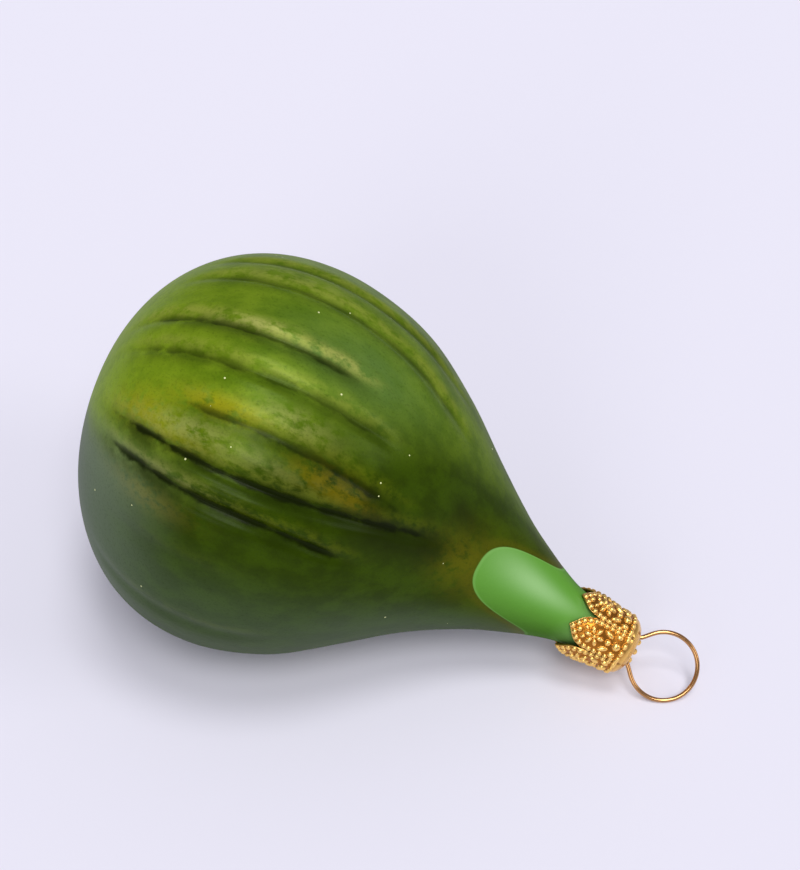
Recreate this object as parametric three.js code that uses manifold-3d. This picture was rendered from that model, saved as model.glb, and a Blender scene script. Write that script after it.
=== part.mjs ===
// A blown-glass fig ornament lying on its side: the hollow glass fig with its stem,
// a leaf-petal metal cap over the end of the stem, and a sprung wire hanging loop.
// Millimetres, +Z up. +X runs along the fig towards the loop. The origin is the middle
// of the footprint: the fig rests on a small flat under its belly and on the loop.

import * as THREE from 'three';
import { mergeVertices } from 'three/addons/utils/BufferGeometryUtils.js';
import Module from 'manifold-3d';

const wasm = await Module();
wasm.setup();

// ---- Driving dimensions -------------------------------------------------------------

// The middle of the fig's widest section, from the origin.
const BODY_CENTRE = new THREE.Vector3(-21.04, 0.05, 29.25);
const BODY_RADIUS = 30;

// The spine is one cubic curve from the blossom end to the closed end of the cap,
// given from BODY_CENTRE. It sets how the neck droops and swings.
const SPINE = new THREE.CubicBezierCurve3(
  new THREE.Vector3(-25.6, -2.8, 7.3),
  new THREE.Vector3(23.1, 3.5, -5.7),
  new THREE.Vector3(27.4, 0, -10.8),
  new THREE.Vector3(58.8, 0, -23.01),
);
SPINE.arcLengthDivisions = 400;
const SPINE_LENGTH = SPINE.getLength();

// Stations are measured along the spine from the widest section.
const BLOSSOM_DEPTH = 26.7;
const CAP_END = SPINE_LENGTH - BLOSSOM_DEPTH;
const GLASS_END = CAP_END - 2;
const BLOSSOM_BLUNTNESS = 2.15;

// [station, radius] of the glass from the widest section to the end of the stem.
// The first row only sets the slope at the widest section.
const GIRTHS = [
  [-8, 28.9],
  [0, BODY_RADIUS],
  [8, 28.9],
  [16, 26],
  [24, 20.8],
  [32, 14.8],
  [40, 9.7],
  [46, 6.8],
  [50.5, 4.95],
  [53.5, 4.2],
  [57, 3.9],
  [64, 3.9],
];

const WALL = 1;
const STEM_WALL = 0.9;

// The belly rests on a flat rectangle, from the origin, and its edges rise at a slight slope.
const REST = { x: -20.4, y: 0.2, halfLength: 2.2, halfWidth: 5.8, edgeSlope: 3 };

// Soft creases pressed along the fig, by their angle round the spine: 0 is up and 90 is
// towards -Y. start and end are stations, reach is the half-width, and the two turns are
// how far a crease has swung by the blossom end and by the start of the neck.
const CREASES = [
  { angle: -22, start: -18, end: 26, depth: 0.35, reach: 1.6, blossomTurn: -9, neckTurn: -3 },
  { angle: -9, start: -20, end: 28, depth: 0.4, reach: 1.8, blossomTurn: -9, neckTurn: 3 },
  { angle: 12, start: -24, end: 12, depth: 0.4, reach: 1.7, blossomTurn: -9, neckTurn: 0 },
  { angle: 23.5, start: -24, end: 18, depth: 0.4, reach: 1.7, blossomTurn: -5, neckTurn: -1 },
  { angle: 38, start: -20, end: 16, depth: 0.25, reach: 1.8, blossomTurn: -3, neckTurn: 4 },
  { angle: 52, start: -25, end: 32, depth: 0.55, reach: 1.8, blossomTurn: -6, neckTurn: -8 },
  { angle: 61, start: -25, end: 20, depth: 0.5, reach: 1.7, blossomTurn: -4, neckTurn: 5 },
  { angle: 80, start: -20, end: 8, depth: 0.25, reach: 1.8, blossomTurn: 4, neckTurn: 0 },
  { angle: 104, start: -22, end: 14, depth: 0.3, reach: 2, blossomTurn: 8, neckTurn: -6 },
  { angle: 128, start: -22, end: 22, depth: 0.35, reach: 1.8, blossomTurn: 5, neckTurn: -3 },
  { angle: 219, start: -22, end: 20, depth: 0.35, reach: 1.8, blossomTurn: 4, neckTurn: 3 },
  { angle: 240, start: -24, end: 28, depth: 0.45, reach: 1.8, blossomTurn: -4, neckTurn: 5 },
  { angle: 257, start: -22, end: 16, depth: 0.3, reach: 1.7, blossomTurn: -3, neckTurn: 0 },
  { angle: 274, start: -24, end: 26, depth: 0.5, reach: 1.8, blossomTurn: 3, neckTurn: -4 },
  { angle: 292, start: -23, end: 14, depth: 0.35, reach: 1.7, blossomTurn: 5, neckTurn: 2 },
  { angle: 313, start: -22, end: 22, depth: 0.4, reach: 1.8, blossomTurn: -5, neckTurn: 3 },
];
const CREASE_FADE = 9;

// The cap, measured back from its closed end.
const SHEET = 0.3;
const NOTCH_DEPTH = 6.6;
const PETAL_LENGTH = 10.9;
const PETALS = 6;
const FIRST_PETAL_ANGLE = 51;
const CAP_DISC_RADIUS = 3.1;
const CAP_GIRTHS = [
  [0, 3.3],
  [0.35, 3.75],
  [1, 4.4],
  [2.2, 4.65],
  [4.4, 4.8],
  [7.2, 5.2],
  [9, 5.15],
  [10.9, 5],
];
const EDGE_RIM = { height: 0.12, width: 0.7 };
const PETAL_BOSS = { height: 0.3, radius: 0.8, back: 2.9 };
const END_BEAD = { radius: 0.5, ring: 2.1, lift: 0.15, count: 6 };

// The wire and its loop. The loop's plane holds the cap's axis.
const WIRE_RADIUS = 0.35;
const LOOP_RADIUS = 5.2;
const LOOP_REACH = 5.6;
const LEG_OFFSET = 2.14;
const LEG_SPLAY = 2.2;
const LEG_LENGTH = 9;
const LOOP_SIDE_ANGLE = 134;
const HOLE_RADIUS = 0.65;

// ---- Small helpers ------------------------------------------------------------------

const radians = THREE.MathUtils.degToRad;
const clamp = THREE.MathUtils.clamp;
const smoothstep = THREE.MathUtils.smoothstep;

/** Smooth curve through the rows of a [position, value] table. */
function throughTable(table, position) {
  const last = table.length - 1;
  const x = clamp(position, table[0][0], table[last][0]);
  let i = 0;
  while (i < last - 1 && x > table[i + 1][0]) i += 1;
  const slope = (k) => {
    const low = table[Math.max(k - 1, 0)];
    const high = table[Math.min(k + 1, last)];
    return (high[1] - low[1]) / (high[0] - low[0]);
  };
  const [x0, y0] = table[i];
  const [x1, y1] = table[i + 1];
  const span = x1 - x0;
  const t = (x - x0) / span;
  const rise = (3 - 2 * t) * t * t;
  const leave = t * (1 - t) * (1 - t) * span * slope(i);
  const arrive = t * t * (t - 1) * span * slope(i + 1);
  return y0 * (1 - rise) + y1 * rise + leave + arrive;
}

/** Signed difference of two angles in degrees, from -180 to 180. */
function angleBetween(a, b) {
  return ((((a - b + 180) % 360) + 360) % 360) - 180;
}

/** Centre, tangent, up and side directions of the spine at a station. */
function spineFrame(station) {
  const u = clamp((station + BLOSSOM_DEPTH) / SPINE_LENGTH, 0, 1);
  const centre = SPINE.getPointAt(u);
  const along = SPINE.getTangentAt(u);
  const up = new THREE.Vector3(0, 0, 1).addScaledVector(along, -along.z).normalize();
  const side = new THREE.Vector3().crossVectors(along, up);
  return { centre, along, up, side };
}

/** Closed grid from rows of equal rings between two end points, as a manifold solid. */
function solidFromRings(firstPoint, rings, lastPoint) {
  const columns = rings[0].length;
  const points = [firstPoint, ...rings.flat(), lastPoint];
  const lastIndex = points.length - 1;
  const ringStart = (row) => 1 + row * columns;
  const triangles = [];
  for (let c = 0; c < columns; c += 1) {
    const next = (c + 1) % columns;
    triangles.push(0, ringStart(0) + next, ringStart(0) + c);
    for (let row = 0; row < rings.length - 1; row += 1) {
      const a = ringStart(row) + c;
      const b = ringStart(row) + next;
      triangles.push(a, b, b + columns, a, b + columns, a + columns);
    }
    const end = ringStart(rings.length - 1);
    triangles.push(lastIndex, end + c, end + next);
  }
  const mesh = new wasm.Mesh({
    numProp: 3,
    vertProperties: new Float32Array(points.flatMap((p) => p.toArray())),
    triVerts: new Uint32Array(triangles),
  });
  return new wasm.Manifold(mesh);
}

/** A closed three.js geometry as a manifold solid, with its shared vertices merged. */
function solidFromGeometry(geometry) {
  geometry.deleteAttribute('normal');
  geometry.deleteAttribute('uv');
  const merged = mergeVertices(geometry);
  const mesh = new wasm.Mesh({
    numProp: 3,
    vertProperties: new Float32Array(merged.attributes.position.array),
    triVerts: new Uint32Array(merged.index.array),
  });
  return new wasm.Manifold(mesh);
}

/** A three.js mesh of a manifold solid. */
function meshOf(name, solid, material) {
  const { vertProperties, triVerts } = solid.getMesh();
  const geometry = new THREE.BufferGeometry();
  geometry.setAttribute('position', new THREE.BufferAttribute(vertProperties, 3));
  geometry.setIndex(new THREE.BufferAttribute(triVerts, 1));
  geometry.computeVertexNormals();
  const mesh = new THREE.Mesh(geometry, material);
  mesh.name = name;
  return mesh;
}

// ---- Glass fig ----------------------------------------------------------------------

/** Radius of the smooth glass at a station, its wall taken off when inset is given. */
function glassRadius(station, inset) {
  if (station < 0) {
    const reach = clamp(-station / (BLOSSOM_DEPTH - inset), 0, 1);
    const round = (1 - reach ** BLOSSOM_BLUNTNESS) ** (1 / BLOSSOM_BLUNTNESS);
    return (BODY_RADIUS - inset) * round;
  }
  return throughTable(GIRTHS, station) - inset;
}

/** How deep the creases press into the glass at a station and angle. */
function creaseDepth(station, angle, radius) {
  let depth = 0;
  for (const crease of CREASES) {
    const towardsBlossom = Math.min(station, 0) / BLOSSOM_DEPTH;
    const towardsNeck = Math.max(station, 0) / BLOSSOM_DEPTH;
    const middle = crease.angle + crease.blossomTurn * towardsBlossom ** 2
      + crease.neckTurn * towardsNeck ** 2;
    const across = radians(angleBetween(angle, middle)) * radius;
    const opening = smoothstep(station, crease.start, crease.start + CREASE_FADE);
    const closing = 1 - smoothstep(station, crease.end - CREASE_FADE, crease.end);
    depth += crease.depth * opening * closing * Math.exp(-((across / crease.reach) ** 2));
  }
  return depth;
}

/** One solid swept along the spine: the outside, or with an inset the hollow inside. */
function sweptFig(columns, blossomRows, neckRows, insetAt, end, creased) {
  const start = -BLOSSOM_DEPTH + insetAt(-BLOSSOM_DEPTH);
  const stations = [];
  for (let row = 1; row <= blossomRows; row += 1) {
    stations.push(start * (1 - (row / blossomRows) ** 2));
  }
  for (let row = 1; row <= neckRows; row += 1) {
    stations.push((end * row) / neckRows);
  }
  const rings = stations.map((station) => {
    const { centre, up, side } = spineFrame(station);
    const smooth = glassRadius(station, insetAt(station));
    const ring = [];
    for (let c = 0; c < columns; c += 1) {
      const angle = (360 * c) / columns;
      const radius = smooth - (creased ? creaseDepth(station, angle, smooth) : 0);
      ring.push(centre.clone()
        .addScaledVector(up, radius * Math.cos(radians(angle)))
        .addScaledVector(side, radius * Math.sin(radians(angle))));
    }
    return ring;
  });
  return solidFromRings(spineFrame(start).centre, rings, spineFrame(end).centre);
}

/** Cuts the belly to its rest: level in the middle and rising a little from its edges. */
function cutRest(solid) {
  const middle = new THREE.Vector3(REST.x, REST.y, 0).sub(BODY_CENTRE);
  const slope = radians(REST.edgeSlope);
  let cut = solid.trimByPlane([0, 0, 1], middle.z);
  for (const [x, y] of [[1, 0], [-1, 0], [0, 1], [0, -1]]) {
    const normal = new THREE.Vector3(-x * Math.sin(slope), -y * Math.sin(slope), Math.cos(slope));
    const edge = new THREE.Vector3(x * REST.halfLength, y * REST.halfWidth, 0).add(middle);
    cut = cut.trimByPlane(normal.toArray(), normal.dot(edge));
  }
  return cut;
}

/** The hollow glass: fig and stem in one, open at the end of the stem, cut to its rest. */
function glassFig() {
  const wallAt = (station) => THREE.MathUtils.lerp(WALL, STEM_WALL, smoothstep(station, 20, 50));
  const outside = sweptFig(88, 12, 24, () => 0, GLASS_END, true);
  const inside = sweptFig(40, 8, 15, wallAt, GLASS_END + 0.6, false);
  return cutRest(outside.subtract(inside));
}

// ---- Petal cap ----------------------------------------------------------------------
// In the cap's own frame the axis is +X, pointing out of the closed end at x = 0.

/** Point in the cap's frame: how far back from the closed end, angle and radius. */
function capPoint(back, angle, radius) {
  const turn = radians(angle);
  return new THREE.Vector3(-back, -radius * Math.sin(turn), radius * Math.cos(turn));
}

/** Angle from the middle of the nearest petal, in degrees. */
function angleInPetal(angle) {
  const share = 360 / PETALS;
  return angleBetween(angle * PETALS, FIRST_PETAL_ANGLE * PETALS) * (share / 360);
}

/** Length of the cap at an angle: broad petals with blunt points and narrow notches. */
function capLength(angle) {
  const across = Math.abs(angleInPetal(angle)) / (180 / PETALS);
  const taper = 0.5 * across + 0.5 * across ** 8;
  return NOTCH_DEPTH + (PETAL_LENGTH - NOTCH_DEPTH) * (1 - taper);
}

/** Raised rim along the edge and one boss at the foot of each petal. */
function capRelief(back, angle, radius) {
  const fromEdge = capLength(angle) - back;
  const rim = EDGE_RIM.height * (1 - smoothstep(fromEdge, 0, EDGE_RIM.width));
  const across = radians(angleInPetal(angle)) * radius;
  const fromBoss = Math.hypot(across, back - PETAL_BOSS.back) / PETAL_BOSS.radius;
  const boss = PETAL_BOSS.height * Math.sqrt(Math.max(0, 1 - fromBoss * fromBoss));
  return rim + boss;
}

/** Rings of one side of the cap's sheet, from the closed end to the petals' edges. */
function capRings(columns, inset, rows) {
  const rings = [];
  const ringOf = (backAt, radiusAt) => {
    const ring = [];
    for (let c = 0; c < columns; c += 1) {
      const angle = (360 * c) / columns;
      const back = backAt(angle);
      ring.push(capPoint(back, angle, radiusAt(back, angle)));
    }
    return ring;
  };
  rings.push(ringOf(() => inset, () => CAP_DISC_RADIUS - inset));
  for (let row = 0; row <= rows; row += 1) {
    const share = row / rows;
    const backAt = (angle) => inset + 0.2 + (capLength(angle) - inset - 0.2) * share;
    const radiusAt = (back, angle) => {
      const plain = throughTable(CAP_GIRTHS, back) - inset;
      return inset > 0 ? plain : plain + capRelief(back, angle, plain);
    };
    rings.push(ringOf(backAt, radiusAt));
  }
  return rings;
}

/** The cap: one stamped sheet with petals, a beaded end and two holes for the wire. */
function petalCap() {
  const columns = 72;
  const inner = capRings(columns, SHEET, 5);
  const outer = capRings(columns, 0, 12).reverse();
  const centreInside = new THREE.Vector3(-SHEET, 0, 0);
  const centreOutside = new THREE.Vector3(0, 0, 0);
  let cap = solidFromRings(centreInside, [...inner, ...outer], centreOutside);
  for (let i = 0; i < END_BEAD.count; i += 1) {
    const share = 180 / (END_BEAD.count / 2 + 1);
    const turn = LOOP_SIDE_ANGLE + share * (i + 1 + (i >= END_BEAD.count / 2 ? 1 : 0));
    const spot = capPoint(-END_BEAD.lift, turn, END_BEAD.ring);
    const bead = new THREE.SphereGeometry(END_BEAD.radius, 14, 10).translate(...spot.toArray());
    cap = cap.add(solidFromGeometry(bead));
  }
  for (const side of [1, -1]) {
    const spot = capPoint(0, LOOP_SIDE_ANGLE, side * LEG_OFFSET);
    const drill = new THREE.CylinderGeometry(HOLE_RADIUS, HOLE_RADIUS, 4, 18)
      .rotateZ(Math.PI / 2)
      .translate(...spot.toArray());
    cap = cap.subtract(solidFromGeometry(drill));
  }
  return cap;
}

// ---- Wire hanger --------------------------------------------------------------------

/** The wire's path in the cap's frame: a leg, the open loop and the other leg. */
function hangerPath() {
  const bendStart = 0.5;
  const point = (out, across) => capPoint(-out, LOOP_SIDE_ANGLE, across);
  const reach = Math.hypot(LOOP_REACH - bendStart, LEG_OFFSET);
  const legAngle = Math.atan2(LEG_OFFSET, bendStart - LOOP_REACH);
  const halfSweep = legAngle - Math.acos(LOOP_RADIUS / reach);
  const half = [
    point(-LEG_LENGTH, LEG_SPLAY),
    point(-LEG_LENGTH / 2, (LEG_SPLAY + LEG_OFFSET) / 2),
    point(-0.6, LEG_OFFSET),
    point(bendStart - 0.2, LEG_OFFSET + 0.03),
  ];
  const steps = 14;
  for (let i = 0; i <= steps; i += 1) {
    const turn = (halfSweep * (steps - i)) / steps;
    half.push(point(LOOP_REACH + LOOP_RADIUS * Math.cos(turn), LOOP_RADIUS * Math.sin(turn)));
  }
  const mirrored = half.slice(0, -1).reverse().map((p) => new THREE.Vector3(p.x, -p.y, -p.z));
  return new THREE.CatmullRomCurve3([...half, ...mirrored], false, 'centripetal');
}

/** Round wire along the hanger's path. */
function wireHanger(material) {
  const section = new THREE.Shape();
  section.absarc(0, 0, WIRE_RADIUS, 0, Math.PI * 2);
  const geometry = new THREE.ExtrudeGeometry(section, {
    steps: 88,
    curveSegments: 5,
    bevelEnabled: false,
    extrudePath: hangerPath(),
  });
  const mesh = new THREE.Mesh(geometry, material);
  mesh.name = 'wire_hanger';
  return mesh;
}

// ---- Assembly -----------------------------------------------------------------------

const greenGlass = new THREE.MeshStandardMaterial({
  color: '#5c8a2c', roughness: 0.3, metalness: 0.4,
});
const giltBrass = new THREE.MeshStandardMaterial({
  color: '#d9a441', roughness: 0.3, metalness: 1,
});
const brassWire = new THREE.MeshStandardMaterial({
  color: '#c39a66', roughness: 0.3, metalness: 1,
});

/** Group whose +X points out along the stem, at the closed end of the cap. */
function stemEndGroup() {
  const { centre, along, up } = spineFrame(CAP_END);
  const left = new THREE.Vector3().crossVectors(up, along);
  const group = new THREE.Group();
  group.position.copy(centre);
  group.quaternion.setFromRotationMatrix(new THREE.Matrix4().makeBasis(along, left, up));
  group.add(meshOf('petal_cap', petalCap(), giltBrass));
  group.add(wireHanger(brassWire));
  return group;
}

const fig = new THREE.Group();
fig.position.copy(BODY_CENTRE);
fig.add(meshOf('glass_fig', glassFig(), greenGlass));
fig.add(stemEndGroup());

export default fig;
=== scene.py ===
"""Looks of the glass fig ornament: lacquered glass, gilt leaf-petal cap and brass wire.

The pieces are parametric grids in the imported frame. Shape sizes are in millimetres until
a mesh is made; everything in Blender is in metres.
"""

import math

import bpy
import numpy as np
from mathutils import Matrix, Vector


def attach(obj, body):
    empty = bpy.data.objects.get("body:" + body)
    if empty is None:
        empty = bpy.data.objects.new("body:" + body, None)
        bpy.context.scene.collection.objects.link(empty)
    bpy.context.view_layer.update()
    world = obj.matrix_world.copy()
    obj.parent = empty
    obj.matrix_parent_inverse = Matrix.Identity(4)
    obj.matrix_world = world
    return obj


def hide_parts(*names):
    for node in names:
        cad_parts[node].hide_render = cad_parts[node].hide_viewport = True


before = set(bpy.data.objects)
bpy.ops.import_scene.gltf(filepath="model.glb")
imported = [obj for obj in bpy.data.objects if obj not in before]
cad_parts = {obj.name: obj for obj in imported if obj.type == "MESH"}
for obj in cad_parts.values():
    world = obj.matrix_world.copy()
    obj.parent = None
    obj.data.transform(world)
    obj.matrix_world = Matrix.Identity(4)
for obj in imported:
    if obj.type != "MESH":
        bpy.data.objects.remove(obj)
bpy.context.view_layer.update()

MM = 0.001

# ---- Camera --------------------------------------------------------------------------

CAMERA_AZIMUTH = 18.5       # degrees from -Y towards +X
CAMERA_ELEVATION = 43
CAMERA_DISTANCE = 0.286
CAMERA_AIM = (-0.002, 0.0085, 0.0314)
CAMERA_LENS = 78.6          # mm
SENSOR_WIDTH = 36           # mm


def direction(azimuth, elevation):
    """Unit vector from the object towards a viewer at these angles."""
    a, e = math.radians(azimuth), math.radians(elevation)
    return Vector((math.sin(a) * math.cos(e), -math.cos(a) * math.cos(e), math.sin(e)))


def make_camera():
    """Camera at its distance from the aim, looking back at it."""
    camera = bpy.data.objects.new("camera", bpy.data.cameras.new("camera"))
    bpy.context.collection.objects.link(camera)
    camera.data.lens = CAMERA_LENS
    camera.data.sensor_width = SENSOR_WIDTH
    back = direction(CAMERA_AZIMUTH, CAMERA_ELEVATION)
    camera.location = Vector(CAMERA_AIM) + back * CAMERA_DISTANCE
    camera.rotation_euler = back.to_track_quat("Z", "Y").to_euler()
    bpy.context.scene.camera = camera


make_camera()

# ---- The fig's form, in millimetres --------------------------------------------------

BODY_CENTRE = np.array([-21.04, 0.05, 29.25])
BODY_RADIUS = 30
SPINE = np.array([
    [-25.6, -2.8, 7.3],
    [23.1, 3.5, -5.7],
    [27.4, 0, -10.8],
    [58.8, 0, -23.01],
])
BLOSSOM_DEPTH = 26.7
BLOSSOM_BLUNTNESS = 2.15
GIRTHS = [
    (-8, 28.9),
    (0, BODY_RADIUS),
    (8, 28.9),
    (16, 26),
    (24, 20.8),
    (32, 14.8),
    (40, 9.7),
    (46, 6.8),
    (50.5, 4.95),
    (53.5, 4.2),
    (57, 3.9),
    (64, 3.9),
]

# Creases: angle round the spine (0 up, 90 towards -Y), first and last station, depth,
# half-width, how far the crease has swung by the blossom end and by the neck, how dark
# the painted shade in it is, and how light the painted highlight on the raised edge above it is.
CREASES = [
    (-22, -18, 26, 0.4, 1.0, -9, -3, 0.4, 0.5),
    (-9, -20, 28, 0.45, 1.0, -9, 3, 0.45, 0.5),
    (12, -26, 14, 0.55, 0.95, -9, 0, 0.65, 0.8),
    (23.5, -26, 20, 0.5, 0.95, -5, -1, 0.55, 0.45),
    (38, -16, 26, 0.35, 1.2, -3, 4, 0.65, 0.45),
    (52, -25, 32, 0.9, 1.1, -6, -8, 1.0, 0.6),
    (61, -25, 22, 0.8, 1.0, -4, 5, 0.9, 0.6),
    (80, -20, 8, 0.25, 1.2, 4, 0, 0.15, 0.1),
    (104, -22, 14, 0.3, 1.4, 8, -6, 0.1, 0.3),
    (128, -22, 22, 0.35, 1.2, 5, -3, 0.3, 0.2),
    (219, -22, 20, 0.35, 1.2, 4, 3, 0.4, 0.3),
    (240, -24, 28, 0.45, 1.3, -4, 5, 0.7, 0.4),
    (257, -22, 16, 0.3, 1.2, -3, 0, 0.4, 0.4),
    (274, -24, 26, 0.5, 1.3, 3, -4, 0.8, 0.5),
    (292, -23, 14, 0.35, 1.2, 5, 2, 0.5, 0.5),
    (313, -22, 22, 0.4, 1.2, -5, 3, 0.5, 0.4),
]
CREASE_FADE = 9
# The swell beside a crease, as shares of the crease's depth and half-width; the swell on
# the lower side is lower_share as high.
SWELL = {"height": 0.3, "across": 2.4, "width": 1.6, "lower_share": 0.6}


def smoothstep(low, high, x):
    """0 below low, 1 above high and 3 t^2 - 2 t^3 between; falling where low is the larger."""
    t = np.clip((x - low) / (high - low), 0, 1)
    return t * t * (3 - 2 * t)


def through_table(table, position):
    """Smooth curve through a table's rows, with each slope taken from the two neighbours."""
    at, value = np.array(table, float).T
    slope = np.empty_like(at)
    slope[1:-1] = (value[2:] - value[:-2]) / (at[2:] - at[:-2])
    slope[0] = (value[1] - value[0]) / (at[1] - at[0])
    slope[-1] = (value[-1] - value[-2]) / (at[-1] - at[-2])
    x = np.clip(position, at[0], at[-1])
    i = np.clip(np.searchsorted(at, x) - 1, 0, len(at) - 2)
    span = at[i + 1] - at[i]
    t = (x - at[i]) / span
    rise = (3 - 2 * t) * t * t
    leave = t * (1 - t) ** 2 * span * slope[i]
    arrive = t * t * (t - 1) * span * slope[i + 1]
    return value[i] * (1 - rise) + value[i + 1] * rise + leave + arrive


def unit(vectors):
    """Vectors divided by their lengths."""
    return vectors / np.linalg.norm(vectors, axis=-1, keepdims=True)


def angle_between(a, b):
    """a - b in degrees, from -180 up to but not including 180."""
    return (a - b + 180) % 360 - 180


def spine_samples(count=4001):
    """Points along the cubic spine with their stations, measured from the widest section."""
    t = np.linspace(0, 1, count)[:, None]
    p0, p1, p2, p3 = SPINE
    points = (1 - t) ** 3 * p0 + 3 * (1 - t) ** 2 * t * p1 + 3 * (1 - t) * t * t * p2 + t ** 3 * p3
    tangents = (1 - t) ** 2 * (p1 - p0) + 2 * (1 - t) * t * (p2 - p1) + t * t * (p3 - p2)
    steps = np.linalg.norm(np.diff(points, axis=0), axis=1)
    stations = np.concatenate([[0], np.cumsum(steps)]) - BLOSSOM_DEPTH
    return stations, points + BODY_CENTRE, unit(tangents)


SPINE_STATIONS, SPINE_POINTS, SPINE_TANGENTS = spine_samples()
CAP_END = SPINE_STATIONS[-1]
GLASS_END = CAP_END - 2


def spine_frame(station):
    """Centre, along, up and side of the spine at each station; side is towards -Y."""
    def pick(rows):
        return np.stack([np.interp(station, SPINE_STATIONS, rows[:, k]) for k in range(3)], -1)
    along = unit(pick(SPINE_TANGENTS))
    up = unit(np.array([0, 0, 1.0]) - along * along[..., 2:3])
    return pick(SPINE_POINTS), along, up, np.cross(along, up)


def smooth_radius(station):
    """Superellipse behind the widest section, the table of girths in front of it."""
    reach = np.clip(-station / BLOSSOM_DEPTH, 0, 1)
    blossom = BODY_RADIUS * (1 - reach ** BLOSSOM_BLUNTNESS) ** (1 / BLOSSOM_BLUNTNESS)
    return np.where(station < 0, blossom, through_table(GIRTHS, station))


def crease_lines(station, angle, radius):
    """For each crease: presence (0 to 1) and distance across it in mm at every point, then
    its depth, half-width, how dark its painted shade is and how light the painted highlight above
    it is."""
    for middle, start, end, depth, reach, blossom_turn, neck_turn, crease_shade, lip_highlight in CREASES:
        to_blossom = np.minimum(station, 0) / BLOSSOM_DEPTH
        to_neck = np.maximum(station, 0) / BLOSSOM_DEPTH
        line = middle + blossom_turn * to_blossom ** 2 + neck_turn * to_neck ** 2
        across = np.radians(angle_between(angle, line)) * radius
        opening = smoothstep(start, start + CREASE_FADE, station)
        closing = 1 - smoothstep(end - CREASE_FADE, end, station)
        yield opening * closing, across, depth, reach, crease_shade, lip_highlight


def crease_form(station, angle, radius):
    """Height of the creased glass: each crease adds depth * (swells - groove).

    With a the distance across in half-widths, the groove is exp(-a^2), and a swell is the
    same bell, wider and moved off to one side.
    """
    height = np.zeros(np.broadcast(station, angle).shape)
    for presence, across, depth, reach, _, _ in crease_lines(station, angle, radius):
        a = across / reach
        groove = np.exp(-a ** 2)
        upper = np.exp(-((a + SWELL["across"]) / SWELL["width"]) ** 2)
        lower = np.exp(-((a - SWELL["across"]) / SWELL["width"]) ** 2)
        swell = upper + SWELL["lower_share"] * lower
        height += presence * depth * (SWELL["height"] * swell - groove)
    return height


# ---- Meshes --------------------------------------------------------------------------


def grid_mesh(name, grid, ends=(None, None)):
    """Mesh from a (rows, columns, 3) grid in mm whose columns close round.

    ends are optional end points that close the first and last row with a fan.
    """
    rows, columns = grid.shape[:2]
    points = [grid.reshape(-1, 3)]
    r, c = np.meshgrid(np.arange(rows - 1), np.arange(columns), indexing="ij")
    n = (c + 1) % columns
    quads = np.stack([r * columns + c, r * columns + n,
                      (r + 1) * columns + n, (r + 1) * columns + c], -1).reshape(-1, 4)
    faces = quads.tolist()
    ring = np.arange(columns)
    following = (ring + 1) % columns
    total = rows * columns
    for end, first_row, flip in ((ends[0], 0, True), (ends[1], rows - 1, False)):
        if end is None:
            continue
        points.append(np.array(end, float).reshape(1, 3))
        base = first_row * columns
        a, b = (following, ring) if flip else (ring, following)
        fan = np.stack([np.full(columns, total), base + a, base + b], -1)
        faces += fan.tolist()
        total += 1
    mesh = bpy.data.meshes.new(name)
    mesh.from_pydata((np.concatenate(points) * MM).tolist(), [], faces)
    mesh.shade_smooth()
    return mesh


def vector_attribute(mesh, name, vectors):
    """Stores one vector a vertex; fan centres at the end take the last one."""
    flat = np.asarray(vectors, np.float32).reshape(-1, 3)
    rest = np.repeat(flat[-1:], len(mesh.vertices) - len(flat), axis=0)
    layer = mesh.attributes.new(name, "FLOAT_VECTOR", "POINT")
    layer.data.foreach_set("vector", np.concatenate([flat, rest]).ravel())


def add_piece(name, mesh, material):
    """Object at the origin with the mesh and its material."""
    piece = bpy.data.objects.new(name, mesh)
    bpy.context.collection.objects.link(piece)
    mesh.materials.append(material)
    return piece


def point_attribute(mesh, name, values):
    """Stores one number a vertex; fan centres at the end take the last value."""
    padded = np.full(len(mesh.vertices), float(np.ravel(values)[-1]), np.float32)
    flat = np.ravel(values).astype(np.float32)
    padded[:len(flat)] = flat
    mesh.attributes.new(name, "FLOAT", "POINT").data.foreach_set("value", padded)


# ---- Node helpers --------------------------------------------------------------------


def colour(code):
    """Linear colour of an sRGB hex code."""
    srgb = [int(code[i:i + 2], 16) / 255 for i in (1, 3, 5)]
    linear = [v / 12.92 if v <= 0.04045 else ((v + 0.055) / 1.055) ** 2.4 for v in srgb]
    return (*linear, 1.0)


def add_node(tree, kind, inputs=None, **settings):
    """Adds a node with its settings, then links or sets each input; a string is a hex colour."""
    node = tree.nodes.new(kind)
    for key, value in settings.items():
        setattr(node, key, value)
    for key, value in (inputs or {}).items():
        if isinstance(value, bpy.types.NodeSocket):
            tree.links.new(value, node.inputs[key])
        else:
            node.inputs[key].default_value = colour(value) if isinstance(value, str) else value
    return node


def new_material(name):
    """Empty material and its node tree."""
    material = bpy.data.materials.new(name)
    material.use_nodes = True
    material.node_tree.nodes.clear()
    return material, material.node_tree


def finish_surface(tree, inputs):
    """Closes a material: one surface with these inputs, joined to the material's output."""
    surface = add_node(tree, "ShaderNodeBsdfPrincipled", inputs)
    add_node(tree, "ShaderNodeOutputMaterial", {"Surface": surface.outputs["BSDF"]})


def painted(tree, under, over, *covers):
    """One paint over another: under + (over - under) * the product of the covers."""
    cover = covers[0]
    for more in covers[1:]:
        product = add_node(tree, "ShaderNodeMath", {0: cover, 1: more}, operation="MULTIPLY")
        cover = product.outputs[0]
    mix = add_node(tree, "ShaderNodeMix", {0: cover, 6: under, 7: over}, data_type="RGBA")
    return mix.outputs[2]


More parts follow.
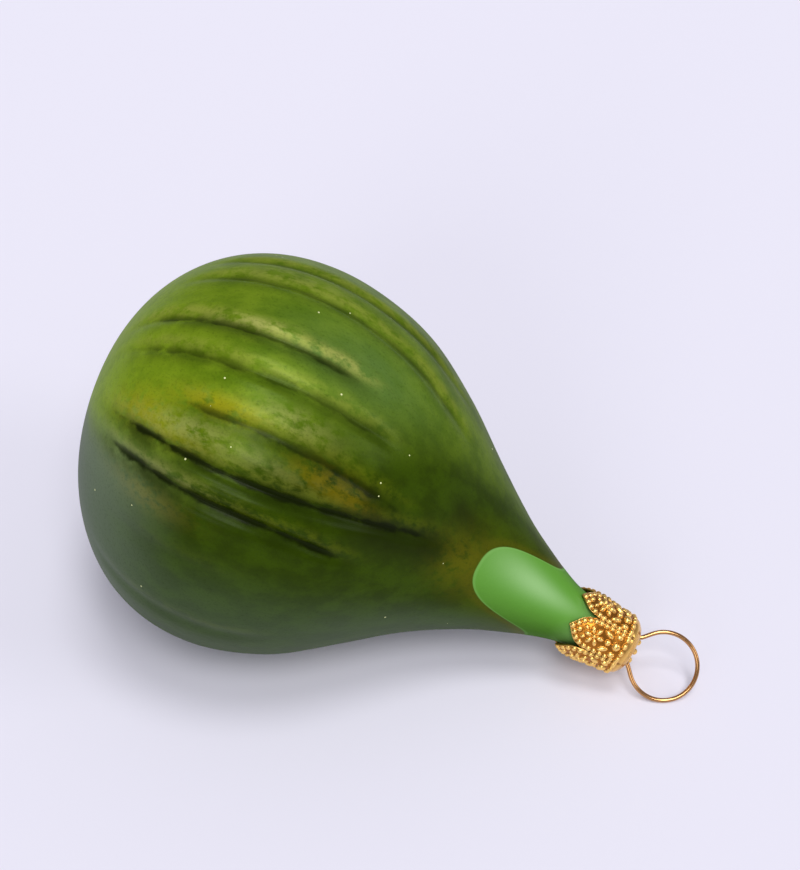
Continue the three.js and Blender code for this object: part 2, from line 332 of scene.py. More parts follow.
def clouds(tree, coordinates, size, stretch, detail, roughness):
    """Cloudy noise: a cloud is about size wide, and stretch times as long on the first axis."""
    scale = 1 / size
    mapping = add_node(tree, "ShaderNodeMapping", {
        "Vector": coordinates, "Scale": (scale / stretch, scale, scale),
    })
    return add_node(tree, "ShaderNodeTexNoise", {
        "Vector": mapping.outputs[0], "Scale": 1.0, "Detail": detail, "Roughness": roughness,
    }).outputs["Fac"]


def cloudy_cover(tree, coordinates, size, stretch, detail, roughness, bare, full):
    """Cover with soft-edged gaps: 0 where the clouds are below bare, 1 where above full."""
    return add_node(tree, "ShaderNodeMapRange", {
        "Value": clouds(tree, coordinates, size, stretch, detail, roughness),
        "From Min": bare,
        "From Max": full,
    }, interpolation_type="SMOOTHSTEP").outputs[0]


# ---- Glass fig -----------------------------------------------------------------------

# Pale stem paint: it starts at STEM_START and reaches up the neck in one tongue.
STEM_START = 48
TONGUE = {"angle": 42, "length": 12.5, "width": 40, "squareness": 2.6}


def stem_edge(angle):
    """Station where the pale paint starts, at each angle."""
    across = np.abs(angle_between(angle, TONGUE["angle"])) / TONGUE["width"]
    return STEM_START - TONGUE["length"] * np.exp(-across ** TONGUE["squareness"])


def patch(station, angle, radius, at, length, width):
    """Soft oval on the glass round (station, angle), with half-sizes in mm."""
    along = (station - at[0]) / length
    across = np.radians(angle_between(angle, at[1])) * radius / width
    return np.exp(-(along ** 2 + across ** 2))


# Patches on the glass, of warm paint, of pale painted highlights, and of dark smudges with
# painted shade: ((station, angle), half-length, half-width, strength).
WARM_PATCHES = [
    ((-7, 35.5), 6, 1.6, 1.0),
    ((-17, 43), 4, 2.4, 0.8),
    ((-11, 48), 5, 1.8, 0.5),
    ((10, 42), 5, 1.9, 1.0),
    ((15, 45), 4, 1.3, 0.8),
    ((32.5, 46), 4, 4, 0.5),
    ((-14, 67), 7, 2, 0.7),
    ((-14, 200), 7, 4, 0.6),
    ((6, 262), 6, 4, 0.6),
    ((20, 150), 6, 4, 0.4),
]
# Painted highlights and sheen, pale, on the ridges.
PALE_HIGHLIGHT_PATCHES = [
    ((-3, -15.5), 9, 2.2, 0.2),
    ((-6, 9), 5, 0.9, 0.65),
    ((6, 9.3), 4, 0.8, 0.5),
    ((-9, 44), 7, 1.8, 0.5),
    ((5, 46), 7, 1.4, 0.4),
    ((4, 32), 6, 1.8, 0.4),
    ((-9, 58), 7, 1.0, 0.6),
    ((-6, 216), 8, 1.6, 0.6),
    ((0, 286), 8, 1.6, 0.5),
]
# Darker patches: partly smudges in the lacquer, partly painted shade where the creases fan out near
# the neck.
SMUDGE_AND_SHADE_PATCHES = [
    ((20, 50), 7, 3.5, 0.8),
    ((28, 46), 3, 3, 0.6),
    ((30, 24), 2.6, 2, 0.7),
    ((12, 235), 10, 6, 0.6),
    ((24, 290), 9, 6, 0.6),
]


# Painted shade pooled in a crease and a painted highlight on the raised edge above it, as
# bells across it: how far across its middle is, and its width.
CREASE_SHADE_POOL = {"across": 0.6, "width": 1.7}     # both in mm
CREASE_LIP_HIGHLIGHT = {"across": -1.4, "width": 1.0}     # across in half-widths of the crease, width in mm
CREASE_LINE = {"across": -0.1, "closing": 1.1}  # mm, and mm that the gap grows where a crease ends
NO_CREASE_GAP = 9.0                             # mm, far from any crease

# Where the paints and the painted light and shade change; FRONT_EDGE, BACK_EDGE, SHOULDER
# and NECK bound the painted shade of the underside and neck. A pair is where a cover is
# bare and where it is full, in degrees round the spine or in mm along it.
FRONT_EDGE = {"angle": (20, 60), "rise": 1.4}   # degrees that the edge climbs with each mm
BACK_EDGE = (60, 115)
SHOULDER = {"angle": (-4, 30), "station": (0, 18), "share": 0.35}
NECK = {"station": (10, 40), "share": 0.26}
# Painted light: the upper side grows lighter towards the blossom end.
PAINTED_LIGHT_END = (-7, -23)
# Painted reflection of the floor: grey-green, low down towards the blossom end.
PAINTED_FLOOR_REFLECTION = {"station": (-4, -22), "angle": (64, 92), "top": -20}
# Painted grey reflection of the floor, low on the -Y side down to the bottom.
UNDERSIDE_REFLECTION = (70, 98)                                 # it stops in a hard line at 180 degrees
# Painted shade round the stem's sides, and painted highlights along its top and near its tip.
STEM_SIDE_SHADE = {"angle": (20, 85), "top": 18}
STEM_HIGHLIGHT = {"station": 45, "length": 7, "angle": 30, "width": 15}
STEM_TIP_HIGHLIGHT = {"station": (50, 56), "last_angle": 120, "strength": 0.4}
# Painted sheen: a grey-green reflection on the upper side.
PAINTED_SHEEN = {"at": (9.6, 8), "length": 12, "width": 7, "strength": 0.8}


def fig_paint(station, angle, radius):
    """Masks of paint and of painted light and shade, 0 to 1, at each grid point; stem_gap and
    line_gap are distances in mm.

    Beside creases a mask is the strongest of bells exp(-(distance / width)^2), patches add
    up to at most 1, and the edges between large areas are smooth steps.
    """
    from_edge = station - stem_edge(angle)
    masks = {"stem_gap": from_edge}
    groove = np.zeros_like(from_edge)
    ridge = np.zeros_like(from_edge)
    line_gap = np.full(groove.shape, NO_CREASE_GAP)
    # The groove mask is painted shade pooled in each crease; the ridge mask is a painted highlight
    # on the raised edge above it.
    for presence, across, _, reach, crease_shade, lip_highlight in crease_lines(station, angle, radius):
        pool = np.exp(-((across - CREASE_SHADE_POOL["across"]) / CREASE_SHADE_POOL["width"]) ** 2)
        groove = np.maximum(groove, presence * crease_shade * pool)
        raised = np.exp(-((across - CREASE_LIP_HIGHLIGHT["across"] * reach) / CREASE_LIP_HIGHLIGHT["width"]) ** 2)
        ridge = np.maximum(ridge, presence * lip_highlight * raised)
        gap = np.abs(across - CREASE_LINE["across"]) + CREASE_LINE["closing"] * (1 - presence)
        line_gap = np.minimum(line_gap, gap)
    masks["groove"], masks["ridge"], masks["line_gap"] = groove, ridge, line_gap
    # Warm paint, pale painted highlights, and dark smudges with painted shade.
    for name, patches in (("warm", WARM_PATCHES), ("pale", PALE_HIGHLIGHT_PATCHES), ("dark", SMUDGE_AND_SHADE_PATCHES)):
        total = sum(strength * patch(station, angle, radius, at, length, width)
                    for at, length, width, strength in patches)
        masks[name] = np.clip(total, 0, 1)
    # Painted shade: the underside, front and back, the shoulder on the +Y side and the neck take
    # the shaded paint.
    forward, backward = angle_between(angle, 0), angle_between(0, angle)
    front = smoothstep(*FRONT_EDGE["angle"], forward + FRONT_EDGE["rise"] * station)
    back = smoothstep(*BACK_EDGE, backward)
    shoulder = smoothstep(*SHOULDER["angle"], backward) * smoothstep(*SHOULDER["station"], station)
    neck = smoothstep(*NECK["station"], station)
    darker = NECK["share"] * neck + SHOULDER["share"] * shoulder
    masks["below"] = np.clip(np.maximum(front, back) + darker, 0, 1)
    # Painted light on the upper side towards the blossom end.
    masks["bright"] = smoothstep(*PAINTED_LIGHT_END, station) * (1 - masks["below"])
    # Painted grey-green reflection of the floor, low towards the blossom end.
    from_top = np.abs(angle_between(angle, PAINTED_FLOOR_REFLECTION["top"]))
    masks["frost"] = smoothstep(*PAINTED_FLOOR_REFLECTION["station"], station) * smoothstep(*PAINTED_FLOOR_REFLECTION["angle"], from_top)
    # Painted grey reflection of the floor, low on the -Y side.
    masks["veil"] = smoothstep(*UNDERSIDE_REFLECTION, forward)
    # Painted shade round the stem's sides; a painted highlight along its top and near its tip.
    from_top = np.abs(angle_between(angle, STEM_SIDE_SHADE["top"]))
    masks["stem_below"] = smoothstep(*STEM_SIDE_SHADE["angle"], from_top)
    along = (station - STEM_HIGHLIGHT["station"]) / STEM_HIGHLIGHT["length"]
    across = angle_between(angle, STEM_HIGHLIGHT["angle"]) / STEM_HIGHLIGHT["width"]
    tip = smoothstep(*STEM_TIP_HIGHLIGHT["station"], station) * (angle < STEM_TIP_HIGHLIGHT["last_angle"])
    masks["stem_shine"] = np.maximum(np.exp(-along ** 2) * np.exp(-across ** 2),
                                     STEM_TIP_HIGHLIGHT["strength"] * tip)
    # Painted sheen, a grey-green reflection.
    sheen = patch(station, angle, radius, PAINTED_SHEEN["at"], PAINTED_SHEEN["length"], PAINTED_SHEEN["width"])
    masks["sheen"] = PAINTED_SHEEN["strength"] * sheen
    return masks


# Cloudy covers that break up the paints, in the straightened fig's own millimetres:
# (cloud's width in mm, stretch along the fig, detail, roughness, bare, full).
PAINT_CLOUDS = {
    "mottle": (3.57, 1.6, 4, 0.55, 0.35, 0.65),
    "streak": (1.43, 3.5, 4, 0.55, 0.4, 0.75),
    "blotch": (1.54, 1.6, 5, 0.62, 0.36, 0.58),
    "fleck": (1.25, 1.5, 4, 0.62, 0.32, 0.56),
    "pool": (3.33, 2.5, 4, 0.55, 0.25, 0.6),
    "grain": (0.3125, 1.3, 2, 0.55, 0.5, 0.75),
}
# Clouds that move the edge of a crease's dark line to and fro, how far in mm, and the gaps
# at which the line is bare and full once it has moved.
LINE_WANDER = (2.0, 2.0, 4, 0.55)
LINE_WANDER_REACH = 2.0
LINE_EDGE = (1.85, 1.2)
CREASE_SHADE_SHOWS = (0.05, 0.9)                 # share of crease shade at which a line is bare and full
LACQUER_WAVES = (1.11, 1.5, 3, 0.55)    # clouds that raise the lacquer's brushed surface
LACQUER_WAVE_HEIGHT = 0.3
SPECK_PITCH = 4.0
SPECK_RADIUS = 0.14
STEM_EDGE_SOFTNESS = 0.12               # mm on each side of the pale paint's edge
PAINT_METAL = 0.18                      # share of metal in the green paints


def beside_edge(tree, gap, middle, reach):
    """Cover of a band along the pale paint's edge: 1 at middle mm from it, 0 at reach more."""
    offset = add_node(tree, "ShaderNodeMath", {0: gap, 1: middle}, operation="SUBTRACT")
    distance = add_node(tree, "ShaderNodeMath", {0: offset.outputs[0]}, operation="ABSOLUTE")
    return add_node(tree, "ShaderNodeMapRange", {
        "Value": distance.outputs[0], "From Min": reach, "From Max": 0.0,
    }, interpolation_type="SMOOTHSTEP").outputs[0]


def lit_upper_paint(tree, cover):
    """Yellow-green of the upper side, the lit copy of the paint, with warm flecks and painted
    light: a lighter blossom end, a grey-green sheen and pale, flecked highlights on the lips.
    """
    light = painted(tree, "#58730e", "#6e8718", cover["mottle"])
    # Painted light towards the blossom end.
    light = painted(tree, light, "#84a01c", cover["bright"], 0.8)
    # Painted grey-green sheen.
    light = painted(tree, light, "#587638", cover["sheen"])
    light = painted(tree, light, "#486608", cover["streak"], 0.3)
    # Painted highlights on the raised edges above the creases.
    light = painted(tree, light, "#a3a848", cover["ridge"], cover["blotch"], 0.7)
    light = painted(tree, light, "#949416", cover["warm"], cover["fleck"])
    # Pale painted highlights.
    return painted(tree, light, "#acae62", cover["pale"], cover["blotch"])


def shaded_lower_paint(tree, cover):
    """Deep olive of the underside and the neck, a shaded copy of the upper paint as painted
    shade, with the same painted highlights above the creases and warm flecks, dimmer.
    """
    dark = painted(tree, "#293902", "#334703", cover["mottle"])
    # Painted highlights above the creases, dimmer.
    dark = painted(tree, dark, "#6d7812", cover["ridge"], cover["blotch"], 0.7)
    dark = painted(tree, dark, "#7a6c0c", cover["warm"], cover["fleck"], 0.7)
    # Pale painted highlights, dimmer.
    return painted(tree, dark, "#757a3c", cover["pale"], cover["blotch"], 0.7)


def painted_crease_shade(tree, base, cover, flow):
    """Painted shade pooled beside each crease, and the thin dark line of painted shade in it,
    whose edge wanders.
    """
    # Painted shade, dark green, pooled beside the creases.
    base = painted(tree, base, "#1d2a02", cover["groove"], cover["pool"], 0.78)
    wandering = add_node(tree, "ShaderNodeMath", {
        0: clouds(tree, flow, *LINE_WANDER), 1: LINE_WANDER_REACH, 2: cover["line_gap"],
    }, operation="MULTIPLY_ADD")
    for name, value, (bare, full) in (("line", wandering.outputs[0], LINE_EDGE),
                                      ("crease_shade", cover["groove"], CREASE_SHADE_SHOWS)):
        cover[name] = add_node(tree, "ShaderNodeMapRange", {
            "Value": value, "From Min": bare, "From Max": full,
        }, interpolation_type="SMOOTHSTEP").outputs[0]
    # The thin dark line in each crease: painted shade.
    return painted(tree, base, "#0e1402", cover["line"], cover["crease_shade"], 0.9)


def glitter(tree, flow):
    """Cover of sparse tiny specks: round spots in the middle of scattered cells."""
    cells = add_node(tree, "ShaderNodeTexVoronoi", {"Vector": flow, "Scale": 1 / SPECK_PITCH})
    return add_node(tree, "ShaderNodeMath", {
        0: cells.outputs["Distance"], 1: SPECK_RADIUS / SPECK_PITCH,
    }, operation="LESS_THAN").outputs[0]


def stem_paint(tree, cover, gap):
    """Pale satin green, with painted shade round its sides, a painted highlight along its top
    and near its tip, and a painted highlight along its edge.
    """
    # Painted shade on the sides, then a painted highlight along the top and near the tip.
    stem = painted(tree, "#5c9436", "#3f6a1c", cover["stem_below"])
    stem = painted(tree, stem, "#8ab573", cover["stem_shine"])
    # Painted highlight along the pale paint's edge.
    return painted(tree, stem, "#86b468", beside_edge(tree, gap, 0.2, 0.45), 0.22)


def lacquered_glass(mask_names):
    """Brushed lacquer on blown glass: satin, so its lights are broad and soft.

    The green paints have a little metal in them, which keeps their lights green, and a thin
    clear coat gives the sides a faint grey gloss, which a painted grey reflection of the floor
    makes stronger on the underside. Shade in the creases and on the underside, and highlights
    and sheen on the upper side and the stem, are painted into the colours too. The pale stem
    is plain satin paint.
    """
    material, tree = new_material("lacquered_glass")
    flow = add_node(tree, "ShaderNodeAttribute", attribute_name="flow").outputs["Vector"]
    cover = {name: add_node(tree, "ShaderNodeAttribute", attribute_name=name).outputs["Fac"]
             for name in mask_names}
    for name, cloud in PAINT_CLOUDS.items():
        cover[name] = cloudy_cover(tree, flow, *cloud)
    # Painted shade: the shaded lower paint covers the underside and the neck.
    base = painted(tree, lit_upper_paint(tree, cover), shaded_lower_paint(tree, cover), cover["below"])
    # Darker patches: smudges, and painted shade near the neck.
    base = painted(tree, base, "#191f02", cover["dark"])
    # Painted grey-green reflection of the floor.
    base = painted(tree, base, "#64735a", cover["frost"], 0.9)
    # Painted grey reflection of the floor on the underside.
    base = painted(tree, base, "#4f6046", cover["veil"], 0.45)
    base = painted_crease_shade(tree, base, cover, flow)
    gap = cover["stem_gap"]
    base = painted(tree, base, "#625a0e", beside_edge(tree, gap, -0.8, 2.0), 0.3)
    base = painted(tree, base, "#52570a", beside_edge(tree, gap, -1.5, 8.0), 0.2)
    base = painted(tree, base, "#1c2802", cover["grain"], 0.22)
    base = painted(tree, base, "#d8dca0", glitter(tree, flow))
    is_stem = add_node(tree, "ShaderNodeMapRange", {
        "Value": gap, "From Min": -STEM_EDGE_SOFTNESS, "From Max": STEM_EDGE_SOFTNESS,
    }, interpolation_type="SMOOTHSTEP").outputs[0]
    base = painted(tree, base, stem_paint(tree, cover, gap), is_stem)
    metal = add_node(tree, "ShaderNodeMath", {0: is_stem, 1: -PAINT_METAL, 2: PAINT_METAL},
                     operation="MULTIPLY_ADD").outputs[0]
    waves = add_node(tree, "ShaderNodeBump", {
        "Strength": 0.3,
        "Distance": LACQUER_WAVE_HEIGHT * MM,
        "Height": clouds(tree, flow, *LACQUER_WAVES),
    }).outputs[0]
    finish_surface(tree, {
        "Base Color": base,
        "Metallic": metal,
        "Roughness": 0.4,
        "Normal": waves,
        "Coat Weight": 0.22,
        "Coat Roughness": 0.26,
        "Coat IOR": 1.27,
        "Specular IOR Level": 0.0,
    })
    return material


def make_fig():
    """The glass: point(s, a) = spine(s) + (radius(s) + creases(s, a)) * (up cos a + side sin a)."""
    blossom_rows, neck_rows, columns = 66, 112, 540
    paint_step, paint_step_reach = 0.04, 0.3
    blossom = -BLOSSOM_DEPTH * (1 - (np.arange(1, blossom_rows + 1) / blossom_rows) ** 2)
    neck = GLASS_END * np.arange(1, neck_rows + 1) / neck_rows
    station = np.concatenate([blossom, neck])[:, None]
    angle = np.linspace(0, 360, columns, endpoint=False)[None, :]
    radius = smooth_radius(station)
    height = crease_form(station, angle, radius)
    past_edge = station - stem_edge(angle)
    height = height + paint_step * smoothstep(-paint_step_reach, paint_step_reach, past_edge)
    centre, along, up, side = spine_frame(station[:, 0])
    turn = np.radians(angle)
    outward = up[:, None] * np.cos(turn)[..., None] + side[:, None] * np.sin(turn)[..., None]
    grid = centre[:, None] + (radius + height)[..., None] * outward
    # The flat on which the belly rests.
    grid[..., 2] = np.maximum(grid[..., 2], 0)
    first = spine_frame(np.array([-BLOSSOM_DEPTH]))[0][0]
    last = centre[-1]
    mesh = grid_mesh("glass_fig_skin", grid, ends=(first, last))
    masks = fig_paint(station, angle, radius)
    for name, values in masks.items():
        point_attribute(mesh, name, np.broadcast_to(values, height.shape))
    vector_attribute(mesh, "flow", np.stack(np.broadcast_arrays(
        station, radius * np.cos(turn), radius * np.sin(turn)), -1))
    piece = add_piece("glass_fig_skin", mesh, lacquered_glass(masks))
    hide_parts("glass_fig")
    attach(piece, "root")


make_fig()

# ---- Petal cap -----------------------------------------------------------------------
# In the cap's own frame the axis is +X, pointing out of the closed end at x = 0.

SHEET = 0.3
NOTCH_DEPTH = 6.6
PETAL_LENGTH = 10.9
PETALS = 6
FIRST_PETAL_ANGLE = 51
CAP_GIRTHS = [
    (0, 3.3),
    (0.35, 3.75),
    (1, 4.4),
    (2.2, 4.65),
    (4.4, 4.8),
    (7.2, 5.2),
    (9, 5.15),
    (10.9, 5),
]
CAP_DISC_RADIUS = 3.1
LOOP_SIDE_ANGLE = 134
LEG_OFFSET = 2.14
END_BEADS = {"radius": 0.5, "ring": 2.1, "count": 6, "foot": 0.15}
WIRE_HOLE = {"radius": 0.55, "depth": 0.6}
GILT_WEAR_SIZE = 1.11

# Raised work on each petal: (back, across, half-length, half-width, height, turn), with
# the length towards the closed end before it is turned. Rows off the middle come in pairs.
FLOWER = {"back": 6.75, "leaves": 6, "reach": 1.0, "leaf": (0.62, 0.36, 0.4)}
MIDDLE_WORK = [
    (9.2, 0, 0.42, 0.42, 0.36, 0),
    (FLOWER["back"], 0, 0.36, 0.36, 0.46, 0),
    (4.4, 0, 0.5, 0.48, 0.42, 0),
    (3.0, 0, 0.68, 0.66, 0.52, 0),
]
PAIRED_WORK = [
    (8.3, 0.78, 0.42, 0.26, 0.28, 35),
    (4.7, 1.22, 0.85, 0.38, 0.4, 25),
    (3.1, 1.5, 0.58, 0.42, 0.38, 5),
    (1.85, 0.6, 0.38, 0.52, 0.42, 0),
    (1.85, 1.7, 0.36, 0.48, 0.38, 0),
]


def petal_work():
    """Every stamped form of one petal: the middle row, both sides and the flower's leaves."""
    work = list(MIDDLE_WORK)
    for back, across, length, width, height, turn in PAIRED_WORK:
        work.append((back, across, length, width, height, turn))
        work.append((back, -across, length, width, height, -turn))
    for leaf in range(FLOWER["leaves"]):
        turn = 360 * leaf / FLOWER["leaves"]
        work.append((
            FLOWER["back"] + FLOWER["reach"] * math.cos(math.radians(turn)),
            FLOWER["reach"] * math.sin(math.radians(turn)),
            *FLOWER["leaf"], turn,
        ))
    return work


BORDER_BEAD = {"radius": 0.42, "height": 0.34, "pitch": 0.92, "inset": 0.46, "first": 1.9}
PETAL_SEAM = {"depth": 0.12, "width": 0.2, "start": (0.6, 1.4), "stop": (-0.6, 0)}
PETAL_RIM = {"height": 0.1, "reach": (0.05, 0.3)}
# How much painted shade the gilt gets as hollow: none from this relief up, and only
# end_share of it on the closed end, which reaches back as far as end_reach.
SHADED_HOLLOWS = {"relief": 0.16, "end_share": 0.25, "end_reach": (1.0, 2.0), "end_relief": 0.3}
END_FIRST_RING = 0.25       # radius of the ring that a fan closes
EDGE_TAPER = {"share": 0.5, "power": 8}


def cap_to_part(points):
    """Points in the cap's frame moved to the part's frame: centre + x along - y side + z up."""
    centre, along, up, side = (rows[0] for rows in spine_frame(np.array([CAP_END])))
    return centre + points @ np.stack([along, -side, up])


def cap_point(back, angle, radius):
    """Point in the cap's frame: (-back, -radius sin angle, radius cos angle)."""
    turn = np.radians(angle)
    return np.stack(np.broadcast_arrays(-back, -radius * np.sin(turn), radius * np.cos(turn)), -1)


def angle_in_petal(angle):
    """Angle from the middle of the nearest petal."""
    return angle_between(angle * PETALS, FIRST_PETAL_ANGLE * PETALS) / PETALS


def cap_length(angle):
    """Distance from the closed end to the edge: longest at a petal's middle, least at a notch.

    The taper is the mean of across, which makes the point, and across to a high power,
    which rounds the flanks; across is 0 at the middle and 1 at the notch.
    """
    across = np.abs(angle_in_petal(angle)) / (180 / PETALS)
    share = EDGE_TAPER["share"]
    taper = (1 - share) * across + share * across ** EDGE_TAPER["power"]
    return NOTCH_DEPTH + (PETAL_LENGTH - NOTCH_DEPTH) * (1 - taper)


def border_beads():
    """Rows of beads up both sides of a petal and round its point, as (back, across).

    They stand at even steps along the petal's edge, moved inwards by the inset.
    """
    share = 180 / PETALS
    samples, middle_gap = 200, 0.02
    turn = np.linspace(share, 0, 3 * samples)
    back = cap_length(FIRST_PETAL_ANGLE + turn)
    edge = np.stack([back, np.radians(turn) * through_table(CAP_GIRTHS, back)], 1)
    rise = np.linspace(BORDER_BEAD["first"], NOTCH_DEPTH, samples)
    foot = np.stack([rise, np.full(samples, edge[0, 1])], 1)
    path = np.concatenate([foot, edge])
    step = unit(np.gradient(path, axis=0))
    path = path + BORDER_BEAD["inset"] * np.stack([step[:, 1], -step[:, 0]], 1)
    path = path[path[:, 1] > middle_gap]
    run = np.concatenate([[0], np.cumsum(np.linalg.norm(np.diff(path, axis=0), axis=1))])
    count = int(run[-1] // BORDER_BEAD["pitch"])
    at = np.linspace(0, run[-1], count + 1)
    beads = np.stack([np.interp(at, run, path[:, k]) for k in range(2)], 1)
    return np.concatenate([beads, beads[:-1] * [1, -1]])


def cap_relief(back, angle, radius):
    """Height of the stamped work at each point of the cap's outside.

    It is the highest of the domes rise * sqrt(1 - u^2 - v^2), with u and v the distances
    along and across each form in its half-sizes, or the rim, less the seam's depth.
    """
    across = np.radians(angle_in_petal(angle)) * radius
    height = np.zeros_like(across)
    work = petal_work()
    for bead_back, bead_across in border_beads():
        r = BORDER_BEAD["radius"]
        work.append((bead_back, bead_across, r, r, BORDER_BEAD["height"], 0))
    for at_back, at_across, length, width, rise, turned in work:
        c, s = math.cos(math.radians(turned)), math.sin(math.radians(turned))
        db, da = back - at_back, across - at_across
        u, v = (db * c + da * s) / length, (da * c - db * s) / width
        dome = np.sqrt(np.maximum(0, 1 - u * u - v * v))
        height = np.maximum(height, rise * dome)
    edge = cap_length(angle) - back
    rim = PETAL_RIM["height"] * (1 - smoothstep(*PETAL_RIM["reach"], edge))
    return np.maximum(height, rim) - PETAL_SEAM["depth"] * petal_seam(back, angle, radius)


def petal_seam(back, angle, radius):
    """exp(-(across / width)^2) about the line between two petals, from the end to their notch."""
    across = np.radians(180 / PETALS - np.abs(angle_in_petal(angle))) * radius
    line = np.exp(-(across / PETAL_SEAM["width"]) ** 2)
    past_notch = smoothstep(*PETAL_SEAM["stop"], back - NOTCH_DEPTH)
    return line * smoothstep(*PETAL_SEAM["start"], back) * (1 - past_notch)


def cap_grid(columns, rows, inset):
    """Rings from the closed end to the petals' edges, with their relief and their painted shade
    as hollows.
    """
    angle = np.linspace(0, 360, columns, endpoint=False)[None, :]
    share = np.linspace(0, 1, rows)[:, None]
    start = inset + 0.2
    back = start + (cap_length(angle) - start) * share
    radius = through_table(CAP_GIRTHS, back) - inset
    relief = cap_relief(back, angle, radius) if inset == 0 else np.zeros_like(radius)
    end_share = SHADED_HOLLOWS["end_share"]
    off_end = end_share + (1 - end_share) * smoothstep(*SHADED_HOLLOWS["end_reach"], back)
    hollow = np.clip(1 - relief / SHADED_HOLLOWS["relief"], 0, 1) * off_end
    return cap_point(back, angle, radius + relief), relief, hollow


def cap_end_grid(columns, rows):
    """The flat closed end, with domes sqrt(r^2 - d^2) in a ring and two holes for the wire."""
    angle = np.linspace(0, 360, columns, endpoint=False)[None, :]
    radius = np.linspace(END_FIRST_RING, CAP_DISC_RADIUS, rows)[:, None]
    x, y = radius * np.cos(np.radians(angle)), radius * np.sin(np.radians(angle))
    rise = np.zeros_like(x)
    half = END_BEADS["count"] // 2
    for i in range(END_BEADS["count"]):
        turn = math.radians(LOOP_SIDE_ANGLE + 180 / (half + 1) * (i + 1 + (i >= half)))
        d = np.hypot(x - END_BEADS["ring"] * math.cos(turn), y - END_BEADS["ring"] * math.sin(turn))
        r = END_BEADS["radius"]
        dome = (d < r) * END_BEADS["foot"] + np.sqrt(np.maximum(0, r * r - d * d))
        rise = np.maximum(rise, dome)
    for side in (1, -1):
        turn = math.radians(LOOP_SIDE_ANGLE)
        d = np.hypot(x - side * LEG_OFFSET * math.cos(turn), y - side * LEG_OFFSET * math.sin(turn))
        rise = np.where(d < WIRE_HOLE["radius"], -WIRE_HOLE["depth"], rise)
    return cap_point(-rise, angle, radius + 0 * rise), rise


def gilt_sheet():
    """Stamped gilt tinplate: warm, bright gold on the raised work, and deeper gold between as
    painted shade in the hollows and inside, with dark seams and cloudy wear.
    """
    material, tree = new_material("gilt_sheet")
    hollow_shade = add_node(tree, "ShaderNodeAttribute", attribute_name="hollow_shade").outputs["Fac"]
    seam = add_node(tree, "ShaderNodeAttribute", attribute_name="seam").outputs["Fac"]
    place = add_node(tree, "ShaderNodeTexCoord").outputs["Object"]
    wear = cloudy_cover(tree, place, GILT_WEAR_SIZE * MM, 1, 3, 0.6, 0.4, 0.8)
    # Painted shade: deeper gold in the hollows and inside.
    base = painted(tree, "#ffd278", "#a96c24", hollow_shade)
    base = painted(tree, base, "#6b3a10", seam, 0.85)
    base = painted(tree, base, "#b9792a", wear, 0.3)
    finish_surface(tree, {"Base Color": base, "Metallic": 0.95, "Roughness": 0.27})
    return material


def make_cap():
    """One closed shell: out along the inside, back along the outside, in over the closed end."""
    columns = 480
    inner, flat, _ = cap_grid(columns, 10, SHEET)
    outer, relief, hollow = cap_grid(columns, 150, 0)
    end, rise = cap_end_grid(columns, 30)
    grid = np.concatenate([inner, outer[::-1], end[::-1]])
    # Painted shade: all of the inside, the hollows outside, and a little of the closed end.
    hollow_shade = np.concatenate([
        np.ones_like(flat),
        hollow[::-1],
        SHADED_HOLLOWS["end_share"] * np.clip(1 - rise[::-1] / SHADED_HOLLOWS["end_relief"], 0, 1),
    ])
    seam = np.concatenate([
        np.zeros_like(flat),
        np.clip(-relief[::-1] / PETAL_SEAM["depth"], 0, 1),
        np.zeros_like(rise),
    ])
    middles = [cap_to_part(cap_point(back, 0.0, 0.0)) for back in (SHEET, 0.0)]
    mesh = grid_mesh("petal_cap_work", cap_to_part(grid), ends=middles)
    point_attribute(mesh, "hollow_shade", hollow_shade)
    point_attribute(mesh, "seam", seam)
    piece = add_piece("petal_cap_work", mesh, gilt_sheet())
    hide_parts("petal_cap")
    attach(piece, "root")


make_cap()

# ---- Wire hanger ---------------------------------------------------------------------

WIRE_RADIUS = 0.35
WIRE_SIDES = 16
LOOP_RADIUS = 5.2
LOOP_REACH = 5.6
LEG_SPLAY = 2.2
LEG_LENGTH = 9
BEND_START = 0.5


def hanger_path(spacing=0.16, softness=0.3):
    """Middle of the wire in its own plane, as (out, across): leg, loop and leg.

    The loop is an arc that each straight leg meets as a tangent. The path is then sampled
    evenly, and a running mean weighted by a bell of softness mm rounds its bends.
    """
    reach = math.hypot(LOOP_REACH - BEND_START, LEG_OFFSET)
    half_sweep = math.atan2(LEG_OFFSET, BEND_START - LOOP_REACH) - math.acos(LOOP_RADIUS / reach)
    turn = np.linspace(half_sweep, -half_sweep, 200)
    arc = np.stack([LOOP_REACH + LOOP_RADIUS * np.cos(turn), LOOP_RADIUS * np.sin(turn)], 1)
    leg = np.array([[-LEG_LENGTH, LEG_SPLAY], [BEND_START, LEG_OFFSET]])
    path = np.concatenate([leg, arc, leg[::-1] * [1, -1]])
    run = np.concatenate([[0], np.cumsum(np.linalg.norm(np.diff(path, axis=0), axis=1))])
    at = np.linspace(0, run[-1], int(run[-1] / spacing))
    even = np.stack([np.interp(at, run, path[:, k]) for k in range(2)], 1)
    window = int(3 * softness / spacing)
    weights = np.exp(-0.5 * (np.arange(-window, window + 1) * spacing / softness) ** 2)
    soft = even.copy()
    for k in range(2):
        smooth = np.convolve(even[:, k], weights / weights.sum(), "valid")
        soft[window:-window, k] = smooth
    return soft


def spring_wire():
    """Drawn brass wire, polished: narrow bright lights along a brown-gold round."""
    material, tree = new_material("spring_wire")
    finish_surface(tree, {"Base Color": "#be8e5c", "Metallic": 1.0, "Roughness": 0.15})
    return material


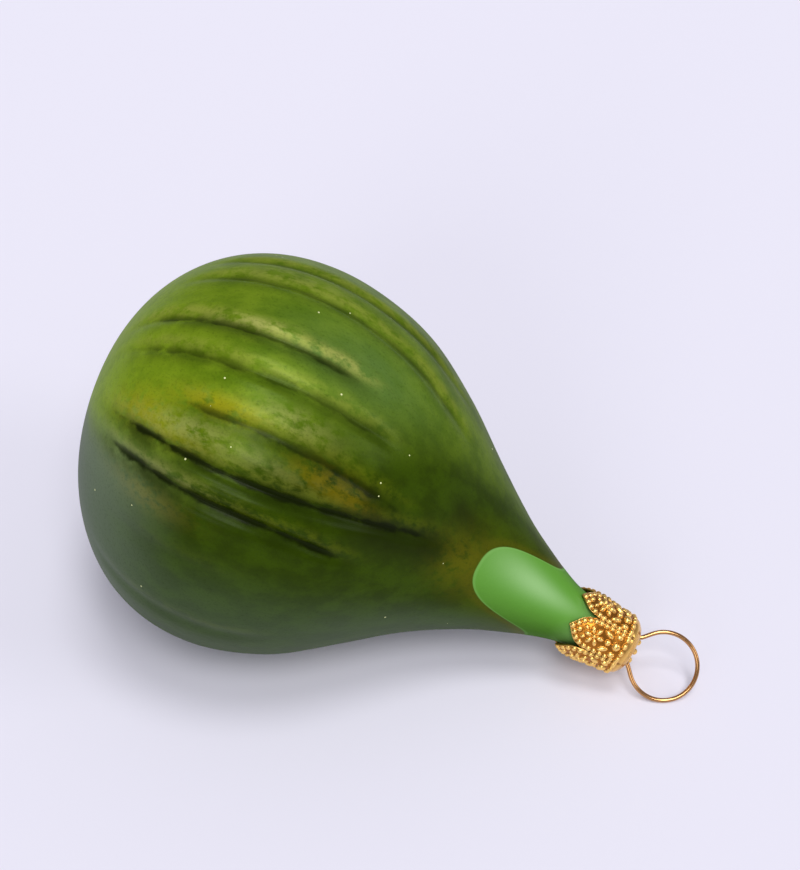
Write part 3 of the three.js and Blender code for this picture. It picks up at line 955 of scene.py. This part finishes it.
def make_wire():
    """Round wire: path + radius * (normal cos t + across sin t), in one plane with the axis."""
    path = hanger_path()
    flat = cap_point(-path[:, 0], LOOP_SIDE_ANGLE, path[:, 1])
    tangent = unit(np.gradient(flat, axis=0))
    normal = cap_point(np.array(0.0), LOOP_SIDE_ANGLE + 90.0, np.array(1.0))
    normal = np.broadcast_to(normal, flat.shape)
    across = np.cross(tangent, normal)
    turn = np.linspace(0, 2 * math.pi, WIRE_SIDES, endpoint=False)
    offsets = (normal[:, None] * np.cos(turn)[None, :, None]
               + across[:, None] * np.sin(turn)[None, :, None]) * WIRE_RADIUS
    grid = cap_to_part(flat[:, None] + offsets)
    mesh = grid_mesh("wire_loop", grid, ends=(cap_to_part(flat[0]), cap_to_part(flat[-1])))
    piece = add_piece("wire_loop", mesh, spring_wire())
    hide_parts("wire_hanger")
    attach(piece, "root")


make_wire()

# ---- Stage and light -----------------------------------------------------------------

# Lamps by azimuth (0 is +X, 90 is +Y), elevation and angular radius in degrees, and the
# share of full light that each one gives the floor.
LAMPS = {
    "key": (298, 55, 13, 0.35),
    "top": (334, 80, 10, 0.26),
    "side": (3, 28, 12, 0.07),
    "front": (268, 24, 12, 0.055),
}
ROOM_LIGHT = 0.4


def make_floor():
    """Matt lavender-white board, 6 m wide so that its edge stays out of sight."""
    half = 3.0
    mesh = bpy.data.meshes.new("floor")
    corners = [(-half, -half, 0), (half, -half, 0), (half, half, 0), (-half, half, 0)]
    mesh.from_pydata(corners, [], [(0, 1, 2, 3)])
    material, tree = new_material("matt_board")
    finish_surface(tree, {"Base Color": "#e6e4f0", "Roughness": 0.6, "Specular IOR Level": 0.0})
    add_piece("floor", mesh, material)


def make_lamps():
    """Soft far-off lamps: each is a disc in the sky that adds its share to the floor's light."""
    for name, (azimuth, elevation, spread, share) in LAMPS.items():
        turn, rise = math.radians(azimuth), math.radians(elevation)
        level = math.cos(rise)
        towards = Vector((math.cos(turn) * level, math.sin(turn) * level, math.sin(rise)))
        lamp = bpy.data.lights.new(name, "SUN")
        lamp.angle = 2 * math.radians(spread)
        lamp.energy = math.pi * share / math.sin(rise)
        holder = bpy.data.objects.new(name, lamp)
        bpy.context.collection.objects.link(holder)
        holder.rotation_euler = towards.to_track_quat("Z", "Y").to_euler()


def make_world():
    """Even, slightly blue light from all round, as in a white room."""
    world = bpy.data.worlds.new("room")
    bpy.context.scene.world = world
    world.use_nodes = True
    background = world.node_tree.nodes["Background"]
    background.inputs["Color"].default_value = colour("#e9e8f4")
    background.inputs["Strength"].default_value = ROOM_LIGHT


make_floor()
make_lamps()
make_world()
bpy.context.scene.view_settings.view_transform = "Standard"
